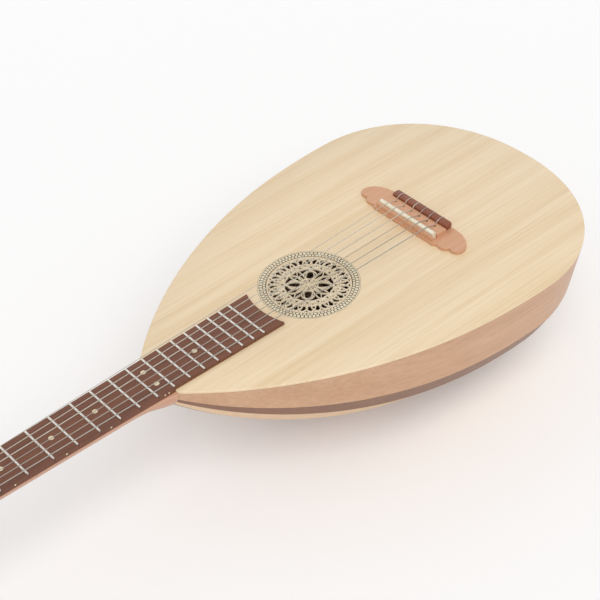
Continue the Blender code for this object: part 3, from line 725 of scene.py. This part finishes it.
@dataclass
class Top:
    """The spruce top with its rounded edge, the rose's ring and the bars under it."""

    outline: Outline = field(default_factory=Outline)
    rose_x: float = 0.514
    hole: float = 0.0434
    thickness: float = 0.0025
    edge: float = 0.0006
    ease: float = 0.3
    front_steps: int = 90
    tail_steps: int = 50
    ring_rows: tuple[float, ...] = (0.0434, 0.0439, 0.0463, 0.0468, 0.0500, 0.0505, 0.0516, 0.0519)
    ring_proud: float = 0.00008
    ring_depth: float = 0.0004
    sectors: int = 80
    cells: int = 4
    bar_away: float = 0.066
    bar_clear: float = 0.008
    bar_depth: float = 0.014
    bar_half: float = 0.003
    bar_steps: int = 15
    bar_power: int = 8
    bar_least: float = 0.08

    def board(self) -> None:
        """Carries the top's section round the outline; it runs from the hole to the edge and back below."""
        x = self.outline.stations(self.front_steps, self.tail_steps)
        y = self.outline.half_width(x)
        loop_x, loop_y = np.concatenate([x, x[::-1]]), np.concatenate([-y, y[::-1]])
        angle = np.arctan2(loop_y, loop_x - self.rose_x)
        unit = np.stack([np.cos(angle), np.sin(angle)], axis=-1)
        outer = np.stack([loop_x, loop_y], axis=-1)
        inner = np.array([self.rose_x, 0.0]) + self.hole * unit
        pulled = outer - self.edge * unit
        eased = outer - self.ease * self.edge * unit
        section = [(inner, -self.thickness), (inner, 0.0), ((inner + pulled) / 2, 0.0), (pulled, 0.0),
                   (eased, -self.ease * self.edge), (outer, -self.edge), (outer, -self.thickness),
                   ((inner + outer) / 2, -self.thickness)]
        grid = np.stack([np.column_stack([flat, np.full(len(flat), up)]) for flat, up in section], axis=1)
        place_piece("spruce_top", surface("spruce_top", grid, ring=True, sharp=50), [SPRUCE],
                    stands_for=("soundboard",))

    def ring(self) -> None:
        """Lays the rope ring: two rows of cream blocks with dark joints, between thin dark lines.

        Each sector round the rose has a row of radii on top and two low corners. Its bands 1 and 3 are
        the block rows, whose joints are half a block apart, and bands 0, 2, 4 and 6 are the lines.
        """
        radii = np.array(self.ring_rows)
        count = self.sectors * self.cells
        angle = np.linspace(0, math.tau, count, endpoint=False)
        flat = np.stack([np.outer(np.cos(angle), radii), np.outer(np.sin(angle), radii)], axis=-1)
        flat[:, :, 0] += self.rose_x
        top = np.concatenate([flat, np.full(flat.shape[:2] + (1,), self.ring_proud)], axis=-1)
        low = np.concatenate([flat[:, [-1, 0]], np.full((count, 2, 1), -self.ring_depth)], axis=-1)
        mesh = surface("rope_ring", np.concatenate([top, low], axis=1), ring=True)
        row, band = np.meshgrid(np.arange(count), np.arange(len(radii) + 2), indexing="ij")
        first = (row % self.cells == 0) & (band == 1)
        second = ((row + self.cells // 2) % self.cells == 0) & (band == 3)
        lines = np.isin(band, (0, 2, 4, 6))
        mesh.polygons.foreach_set("material_index", (first | second | lines).astype(np.int32).ravel())
        place_piece("rope_ring", mesh, [CREAM, DARK_INLAY])

    def bars(self) -> None:
        """Glues two cross bars under the top, in front of the rose and behind it.

        A bar's depth is its greatest depth times the square root of one minus a high power of the share
        of the way from its middle to its end.
        """
        share = np.linspace(-1, 1, self.bar_steps)
        depth = self.bar_depth * np.sqrt(np.clip(1 - share ** self.bar_power, self.bar_least, 1))
        for word, x in (("front", self.rose_x - self.bar_away), ("back", self.rose_x + self.bar_away)):
            reach = float(self.outline.half_width(np.array([x]))[0]) - self.bar_clear
            grid = np.zeros((self.bar_steps, 4, 3))
            grid[:, :, 0] = x + self.bar_half * np.array([-1, 1, 1, -1])
            grid[:, :, 1] = (share * reach)[:, None]
            grid[:, :, 2] = -self.thickness
            grid[:, :2, 2] -= depth[:, None]
            place_piece(f"top_bar_{word}", surface(f"top_bar_{word}", grid), [BLOCK])

    def build(self) -> None:
        """Builds the top and what is let into it or glued under it."""
        self.board()
        self.ring()
        self.bars()


def turned_about(first: float, count: int) -> list[np.ndarray]:
    """Makes the turns that repeat a plan line evenly about the rose's middle.

    Args:
        first: Angle of the first one in degrees.
        count: Number of turns.

    Returns:
        Matrices that turn points written as rows.
    """
    angles = np.radians(first + 360.0 / count * np.arange(count))
    return [np.array([[math.cos(angle), math.sin(angle)], [-math.sin(angle), math.cos(angle)]])
            for angle in angles]


@dataclass(frozen=True)
class RoundStrap:
    """Round straps of one size, evenly spaced on a circle about the rose's middle."""

    radius: float
    width: float
    lift: float
    away: float = 0.0
    first: float = 0.0
    count: int = 1
    points: int = 40

    def lines(self) -> list[np.ndarray]:
        """Works out the straps' plan lines: circles of one radius with their middles away from the rose's.

        Returns:
            One closed line for each strap.
        """
        angle = np.linspace(0, math.tau, self.points, endpoint=False)
        circle = self.radius * np.stack([np.cos(angle), np.sin(angle)], axis=-1)
        return [np.array([self.away, 0.0]) @ turn + circle for turn in turned_about(self.first, self.count)]


@dataclass(frozen=True)
class LeafStrap:
    """Leaf straps of one size that point away from the rose's middle."""

    near: float
    far: float
    half: float
    width: float
    lift: float
    first: float
    bend: float = 0.0
    count: int = 4
    points: int = 18
    bluntness: float = 0.85

    def lines(self) -> list[np.ndarray]:
        """Works out the leaves' plan lines.

        The half width is the greatest one times a power of the sine of the way from foot to tip, and the
        middle line bows to one side by the bend times the same sine.

        Returns:
            One closed line for each leaf.
        """
        share = np.linspace(0, 1, self.points)
        out = self.near + (self.far - self.near) * share
        bow = self.bend * np.sin(np.pi * share)
        half = self.half * np.sin(np.pi * share) ** self.bluntness
        there = np.stack([out, bow + half], axis=-1)[:-1]
        back = np.stack([out, bow - half], axis=-1)[::-1][:-1]
        line = np.concatenate([there, back])
        return [line @ turn for turn in turned_about(self.first, self.count)]


Straps = tuple[RoundStrap | LeafStrap, ...]


@dataclass
class Rose:
    """The carved rose: interlaced straps in three zones inside a plain rim."""

    centre: float = 0.514
    top: float = -0.0003
    thickness: float = 0.0018
    shoulder: float = 0.0004
    crown: float = 0.5
    rim: Straps = (RoundStrap(0.0424, 0.0014, 0.0, points=96),)
    arches: Straps = (
        RoundStrap(0.0074, 0.0013, 0.00016, away=0.0344, first=11.25, count=16),
        RoundStrap(0.0086, 0.0013, 0.0, away=0.0332, count=8),
        RoundStrap(0.0086, 0.0013, 0.0001, away=0.0332, first=22.5, count=8),
    )
    lattice: Straps = (
        RoundStrap(0.0036, 0.0012, 0.00005, away=0.0285, first=11.25, count=16, points=24),
        RoundStrap(0.0315, 0.0011, 0.00015, points=96),
        RoundStrap(0.0252, 0.0013, 0.00015, points=96),
    )
    flower: Straps = (
        LeafStrap(0.0045, 0.0248, 0.0030, 0.0011, 0.0001, first=-13.0, bend=0.0012),
        LeafStrap(0.0045, 0.0248, 0.0030, 0.0011, 0.0001, first=13.0, bend=-0.0012),
        RoundStrap(0.0064, 0.0012, 0.0002, away=0.0150, first=45.0, count=4, points=36),
        LeafStrap(0.0020, 0.0246, 0.0042, 0.0011, 0.00005, first=45.0),
        RoundStrap(0.0036, 0.0010, 0.00012, away=0.0062, count=4, points=28),
        RoundStrap(0.0011, 0.0018, 0.0003, points=16),
    )

    def carve(self, line: np.ndarray, width: float, lift: float) -> np.ndarray:
        """Carries a crowned section round a closed plan line.

        Each ring has two low corners, two shoulders and a flat crown, set off along the plan line's
        normal. The crown takes a share of the width.

        Args:
            line: Closed plan line about the rose's middle.
            width: The strap's width.
            lift: Height added to shoulders and crown, so that crossing straps pass over and under.

        Returns:
            The grid of points.
        """
        tangent = np.roll(line, -1, axis=0) - np.roll(line, 1, axis=0)
        tangent /= np.linalg.norm(tangent, axis=1, keepdims=True)
        normal = np.stack([-tangent[:, 1], tangent[:, 0]], axis=-1)
        offsets = np.array([-1, -1, -self.crown, self.crown, 1, 1]) * width / 2
        low, crown = self.top - self.thickness, self.top + lift
        side = crown - self.shoulder
        flat = line[:, None, :] + normal[:, None, :] * offsets[None, :, None] + np.array([self.centre, 0.0])
        up = np.broadcast_to(np.array([low, side, crown, crown, side, low]), flat.shape[:2])
        return np.concatenate([flat, up[:, :, None]], axis=-1)

    def build(self) -> None:
        """Carves the straps, each a closed ring, and joins those of a zone into one piece."""
        zones = {"rose_rim": self.rim, "rose_arches": self.arches, "rose_lattice": self.lattice,
                 "rose_flower": self.flower}
        for name, straps in zones.items():
            joined = bmesh.new()
            for strap in straps:
                for line in strap.lines():
                    mesh = surface(name, self.carve(line, strap.width, strap.lift), ring=True)
                    joined.from_mesh(mesh)
                    bpy.data.meshes.remove(mesh)
            whole = bpy.data.meshes.new(name)
            joined.to_mesh(whole)
            joined.free()
            stands_for = ("rose",) if name == "rose_rim" else ()
            place_piece(name, whole, [ROSE_WOOD], stands_for=stands_for)


@dataclass
class Fingerboard:
    """Board, frets, and the dots on its face and its bass edge."""

    scale: float = 0.650
    top: float = 0.0037
    frets: int = 19
    nut_width: float = 0.042
    twelfth_width: float = 0.0532
    board_edge: float = 0.0003
    wire_sharp: float = 60.0
    dot: float = 0.0027
    side_dot: float = 0.0009
    single: tuple[int, ...] = (3, 5, 7, 9, 15)
    edge_single: tuple[int, ...] = (3, 5, 7, 9)
    double: int = 12
    pair_away: float = 0.0105
    edge_pair_away: float = 0.0022
    edge_height: float = 0.0012
    dome_shares: tuple[float, ...] = (1.0, 1.0, 0.9, 0.55, 0.15)
    dome_heights: tuple[float, ...] = (-0.0004, 0.00002, 0.00006, 0.00008, 0.00009)
    dot_sides: int = 24

    def fret(self, number: int) -> float:
        """Distance of a fret behind the nut, for equal semitones."""
        return self.scale * (1 - 2 ** (-number / 12))

    def middle(self, number: int) -> float:
        """Middle of the space in front of a fret."""
        return (self.fret(number) + self.fret(number - 1)) / 2

    def half(self, x: float) -> float:
        """Half the board's width, which grows evenly from the nut to the twelfth fret and on."""
        return (self.nut_width + (self.twelfth_width - self.nut_width) * x / (self.scale / 2)) / 2

    def disc(self, name: str, centre: tuple[float, float, float], radius: float, facing: Facing) -> None:
        """Sets a low domed disc, of rings whose radii and heights run from the rim's foot to the middle.

        Args:
            name: Name of the dot.
            centre: Its middle.
            radius: Its radius.
            facing: The face of the board that it is set in.
        """
        share, height = np.array(self.dome_shares), np.array(self.dome_heights)
        angle = np.linspace(0, math.tau, self.dot_sides, endpoint=False)
        a, b = np.outer(share, np.cos(angle)) * radius, np.outer(share, np.sin(angle)) * radius
        up = np.broadcast_to(height[:, None], a.shape)
        axes = (a, b, up) if facing is Facing.UP else (a, -up, b)
        place_piece(name, surface(name, np.array(centre) + np.stack(axes, axis=-1)), [CREAM])

    def edge_dot(self, name: str, x: float) -> None:
        """Sets a small dot in the bass edge at x."""
        self.disc(name, (x, -self.half(x), self.edge_height), self.side_dot, Facing.BASS_EDGE)

    def build(self) -> None:
        """Builds the board's pieces."""
        merged_copy("fingerboard", "board", self.board_edge, BOARD)
        for number in range(1, self.frets + 1):
            merged_copy(f"fret_{number:02d}", f"wire_{number:02d}", 0.0, FRET_WIRE,
                        sharp=self.wire_sharp)
        for number in self.single:
            self.disc(f"dot_{number}", (self.middle(number), 0.0, self.top), self.dot, Facing.UP)
        between = self.middle(self.double)
        for side in Side:
            place = (between, side.value * self.pair_away, self.top)
            self.disc(f"dot_{self.double}_{side.name.lower()}", place, self.dot, Facing.UP)
        for number in self.edge_single:
            self.edge_dot(f"edge_dot_{number}", self.middle(number))
        for word, shift in (("a", -self.edge_pair_away), ("b", self.edge_pair_away)):
            self.edge_dot(f"edge_dot_{self.double}{word}", between + shift)


@dataclass
class Head:
    """The tilted frame of the head: x along it towards the nut, y to the treble side, z out of its face."""

    tilt: float = math.radians(15.0)
    origin: tuple[float, float, float] = (-0.005, 0.0, -0.0022)

    def turn(self) -> np.ndarray:
        """Works out the turn about y by the tilt.

        Returns:
            The matrix that turns a point of the head's frame, written as a column.
        """
        cosine, sine = math.cos(self.tilt), math.sin(self.tilt)
        return np.array([[cosine, 0, -sine], [0, 1, 0], [sine, 0, cosine]])

    def outwards(self, local: np.ndarray) -> np.ndarray:
        """Turns points of the head's frame into the instrument's."""
        return local @ self.turn().T + np.array(self.origin)

    def inwards(self, point: np.ndarray) -> np.ndarray:
        """Turns points of the instrument's frame into the head's."""
        return (point - np.array(self.origin)) @ self.turn()


@dataclass
class Strings:
    """Three plain and three wound strings, and their ties over the block behind the bridge.

    Strings are numbered from 0, treble, to 5, bass. The lines of a string out of its hole and of its tie
    are pairs of x and z. Those over the tie block's bar stand off it by the string's radius.
    """

    head: Head = field(default_factory=Head)
    radii: tuple[float, ...] = (0.00036, 0.00041, 0.00051, 0.00037, 0.00045, 0.00055)
    plain: int = 3
    sides: int = 10
    map_scale: float = 300.0
    nut_spread: float = 0.035
    nut_x: float = -0.001
    nut_top: float = 0.0055
    saddle_spread: float = 0.058
    saddle_x: float = 0.650
    saddle_top: float = 0.0123
    rise: tuple[tuple[float, float], ...] = (
        (0.6615, 0.0042), (0.6615, 0.0074), (0.6610, 0.0087), (0.6595, 0.0095))
    lead: tuple[float, float, float] = (0.0012, 0.0, -0.0002)
    span_steps: int = 24
    rollers: tuple[float, ...] = (0.042, 0.077, 0.112)
    roller_w: float = -0.0095
    roller_radius: float = 0.0053
    starts: tuple[tuple[float, int], ...] = ((0.0176, -1), (0.0120, 1), (0.0096, 1))
    turns: float = 1.5
    turn_gap: float = 0.00045
    turn_steps: int = 48
    tie_aside: float = 0.0012
    tie_rise: tuple[tuple[float, float], ...] = ((0.6640, 0.0083), (0.6652, 0.0100))
    tie_over: tuple[tuple[float, float], ...] = (
        (0.6672, 0.0110), (0.6690, 0.0113), (0.6730, 0.0113), (0.6752, 0.0101))
    tie_fall: tuple[tuple[float, float], ...] = ((0.6762, 0.0085), (0.6762, 0.0055))

    def share(self, number: int) -> float:
        """A string's place across its spread, from a half at the treble to minus a half at the bass."""
        return 0.5 - number / (len(self.radii) - 1)

    def winds(self, number: int) -> np.ndarray:
        """Works out a string's turns on its roller.

        They are a helix round the roller's axis. It starts where the line from the nut touches it: at the
        angle whose cosine is the helix's radius over the distance to the nut, from the nut's direction.

        Args:
            number: The string.

        Returns:
            Points in the instrument's frame.
        """
        radius = self.radii[number]
        side = Side.TREBLE if self.share(number) > 0 else Side.BASS
        order = number if side is Side.TREBLE else len(self.radii) - 1 - number
        u = self.rollers[order]
        over = self.head.inwards(np.array([self.nut_x, self.nut_spread * self.share(number),
                                           self.nut_top + radius]))
        wrap = self.roller_radius + radius
        far = np.array([-over[0] - u, over[2] - self.roller_w])
        first = math.acos(wrap / np.hypot(*far)) + math.atan2(far[0], far[1])
        place, way = self.starts[order]
        turn = np.linspace(0, self.turns, int(self.turn_steps * self.turns) + 1)
        angle = first + math.tau * turn
        across = side.value * (place + way * (2 * radius + self.turn_gap) * turn)
        return self.head.outwards(np.stack([-u - wrap * np.sin(angle), across,
                                            self.roller_w + wrap * np.cos(angle)], axis=-1))

    def path(self, number: int) -> np.ndarray:
        """Draws a string's centre line from its hole over the saddle and the nut and round its roller.

        Args:
            number: The string.

        Returns:
            Points of the centre line.
        """
        radius = self.radii[number]
        y = self.saddle_spread * self.share(number)
        crest = np.array([self.saddle_x, y, self.saddle_top + radius])
        over = np.array([self.nut_x, self.nut_spread * self.share(number), self.nut_top + radius])
        rise = np.insert(np.array(self.rise), 1, y, axis=1)
        lead = crest + np.array(self.lead)
        span = crest + (over - crest) * np.linspace(0, 1, self.span_steps)[:, None]
        return np.concatenate([rise, lead[None, :], span, self.winds(number)])

    def tie(self, number: int) -> np.ndarray:
        """Draws a string's tie: up out of the block, over the dark bar and down behind it.

        Args:
            number: The string.

        Returns:
            Points of the centre line.
        """
        radius = self.radii[number]
        line = np.concatenate([np.array(self.tie_rise), np.array(self.tie_over) + [0.0, radius],
                               np.array(self.tie_fall) + [radius, 0.0]])
        return np.insert(line, 1, self.saddle_spread * self.share(number) + self.tie_aside, axis=1)

    def build(self) -> None:
        """Builds the strings and their ties."""
        for number, radius in enumerate(self.radii):
            kind, slot = (NYLON, Slot.NYLON) if number < self.plain else (WOUND, Slot.SILVER_WOUND)
            node = f"string_{number + 1}"
            for name, line, stands_for in ((f"{node}_wire", self.path(number), (node,)),
                                           (f"{node}_tie", self.tie(number), ())):
                points, uv = tube(line, radius, self.sides, self.map_scale)
                place_piece(name, surface(name, points, uv=uv), [kind], stands_for=stands_for)


@dataclass
class Fittings:
    """Bridge, saddle, nut, neck, blocks and the machine heads.

    A screw's place is its distance from the nut along the head and its height over the head's face.
    """

    head: Head = field(default_factory=Head)
    bridge_edge: float = 0.0004
    saddle_edge: float = 0.0003
    nut_edge: float = 0.0001
    neck_edge: float = 0.0004
    plate_edge: float = 0.0002
    plate_out: float = 0.0335
    screw: float = 0.0017
    screw_sides: int = 16
    dome_angles: tuple[float, ...] = (0, 0, 30, 60, 85)
    dome_heights: tuple[float, ...] = (-0.0004, 0, 0.0004, 0.0007, 0.0008)
    screws: tuple[tuple[float, float], ...] = (
        (0.0350, -0.0095), (0.0652, -0.0165), (0.1002, -0.0165), (0.1285, -0.0095))

    def screw_head(self, name: str, place: np.ndarray, side: Side) -> None:
        """Sets a domed screw head on a side plate; each ring's radius is the head's times a cosine.

        Args:
            name: Name of the screw.
            place: Its middle in the head's frame.
            side: The side that it faces.
        """
        angle = np.linspace(0, math.tau, self.screw_sides, endpoint=False)
        radius = self.screw * np.cos(np.radians(self.dome_angles))
        a, b = np.outer(radius, np.cos(angle)), np.outer(radius, np.sin(angle))
        out = side.value * np.broadcast_to(np.array(self.dome_heights)[:, None], a.shape)
        points = self.head.outwards(np.stack([a, out, b], axis=-1) + place)
        place_piece(name, surface(name, points), [NICKEL])

    def machine(self, side: Side) -> None:
        """Dresses one side's machine heads: plate, rollers, buttons and screws.

        Args:
            side: The side that they are on.
        """
        word = side.name.lower()
        merged_copy(f"machine_plate_{word}", f"side_plate_{word}", self.plate_edge, NICKEL)
        for number in (1, 2, 3):
            roller, tuner = f"roller_{word}_{number}", f"tuner_{word}_{number}"
            merged_copy(roller, f"geared_{roller}", 0.0, BRASS, roller)
            merged_copy(tuner, f"button_{word}_{number}", 0.0, NICKEL, tuner)
        for number, (u, w) in enumerate(self.screws, 1):
            place = np.array([-u, side.value * self.plate_out, w])
            self.screw_head(f"plate_screw_{word}_{number}", place, side)

    def build(self) -> None:
        """Dresses the CAD pieces whose shapes are right."""
        merged_copy("bridge", "bridge_base", self.bridge_edge, BRIDGE_WOOD)
        merged_copy("tie_block", "tie_bar", 0.0, TIE)
        merged_copy("saddle", "bone_saddle", self.saddle_edge, BONE)
        merged_copy("nut", "bone_nut", self.nut_edge, BONE)
        merged_copy("neck", "neck_and_head", self.neck_edge, NECK)
        for node in ("neck_block", "tail_block"):
            merged_copy(node, f"{node}_wood", 0.0, BLOCK)
        for side in Side:
            self.machine(side)


@dataclass
class Studio:
    """Floor, light and camera. Places are in the instrument's frame and angles in degrees."""

    place: tuple[float, float, float] = (-0.24223, -0.94064, 1.03145)
    angles: tuple[float, float, float] = (48.86352, 3.06863, -40.99625)
    lens: float = 95.37
    clip: tuple[float, float] = (0.05, 50.0)
    floor: float = 6.0
    floor_grey: float = 0.9
    floor_roughness: float = 0.9
    floor_glow: float = 0.12
    fill: float = 0.62
    sun: float = 1.25
    sun_spread: float = 40.0
    sun_turn: tuple[float, float, float] = (32.0, -18.0, 0.0)

    def backdrop(self) -> None:
        """Lays a floor that takes a soft shadow and glows a little to camera, so that it shows white."""
        mesh = bpy.data.meshes.new("floor")
        corners = [(-1, -1), (1, -1), (1, 1), (-1, 1)]
        mesh.from_pydata([(x * self.floor, y * self.floor, 0) for x, y in corners], [], [(0, 1, 2, 3)])
        shader = Shader("white_floor")
        shader.feed("Base Color", (self.floor_grey, self.floor_grey, self.floor_grey, 1))
        shader.feed("Roughness", self.floor_roughness)
        seen = shader.node("ShaderNodeLightPath").outputs["Is Camera Ray"]
        lift = shader.node("ShaderNodeMath", {0: seen, 1: self.floor_glow}, operation="MULTIPLY")
        glow = shader.node("ShaderNodeEmission", {"Color": (1, 1, 1, 1), "Strength": lift.outputs[0]})
        both = shader.node("ShaderNodeAddShader", {0: shader.surface.outputs[0], 1: glow.outputs[0]})
        shader.put(shader.tree.nodes["Material Output"].inputs["Surface"], both.outputs[0])
        mesh.materials.append(shader.material)
        floor = bpy.data.objects.new("floor", mesh)
        bpy.context.scene.collection.objects.link(floor)

    def light(self) -> None:
        """Sets a plain even sky, which is white to camera, gloss and glass, and one soft sun."""
        world = bpy.data.worlds.new("sky")
        bpy.context.scene.world = world
        world.use_nodes = True
        sky = Nodes(world.node_tree)
        seen = sky.node("ShaderNodeLightPath").outputs
        either = sky.node("ShaderNodeMath", {0: seen["Is Camera Ray"], 1: seen["Is Transmission Ray"]},
                          operation="MAXIMUM")
        any_of = sky.node("ShaderNodeMath", {0: either.outputs[0], 1: seen["Is Glossy Ray"]},
                          operation="MAXIMUM")
        strength = sky.node("ShaderNodeMapRange", {"Value": any_of.outputs[0], "To Min": self.fill,
                                                   "To Max": 1.0})
        background = world.node_tree.nodes["Background"].inputs
        sky.put(background["Color"], (1, 1, 1, 1))
        sky.put(background["Strength"], strength.outputs["Result"])
        lamp = bpy.data.lights.new("soft_sun", "SUN")
        lamp.energy = self.sun
        lamp.angle = math.radians(self.sun_spread)
        sun = bpy.data.objects.new("soft_sun", lamp)
        sun.rotation_euler = [math.radians(degrees) for degrees in self.sun_turn]
        bpy.context.scene.collection.objects.link(sun)

    def camera(self) -> None:
        """Places the camera at the photograph's angle and distance."""
        data = bpy.data.cameras.new("camera")
        data.lens = self.lens
        data.clip_start, data.clip_end = self.clip
        seat = bpy.data.objects.new("camera", data)
        x_turn, y_turn, z_turn = (Matrix.Rotation(math.radians(degrees), 4, axis)
                                  for degrees, axis in zip(self.angles, "XYZ"))
        seat.matrix_world = Matrix.Translation(np.array(self.place) + SHIFT) @ z_turn @ y_turn @ x_turn
        bpy.context.scene.collection.objects.link(seat)
        bpy.context.scene.camera = seat

    def build(self) -> None:
        """Sets up everything round the instrument."""
        self.backdrop()
        self.light()
        self.camera()
        bpy.context.scene.view_settings.view_transform = "Standard"


def main() -> None:
    """Builds each sub-assembly in order."""
    logging.basicConfig(level=logging.INFO)
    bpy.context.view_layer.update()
    for part in (Bowl(), Top(), Rose(), Fingerboard(), Strings(), Fittings(), Studio()):
        part.build()
        LOG.info("built %s", type(part).__name__)


if __name__ == "__main__":
    main()
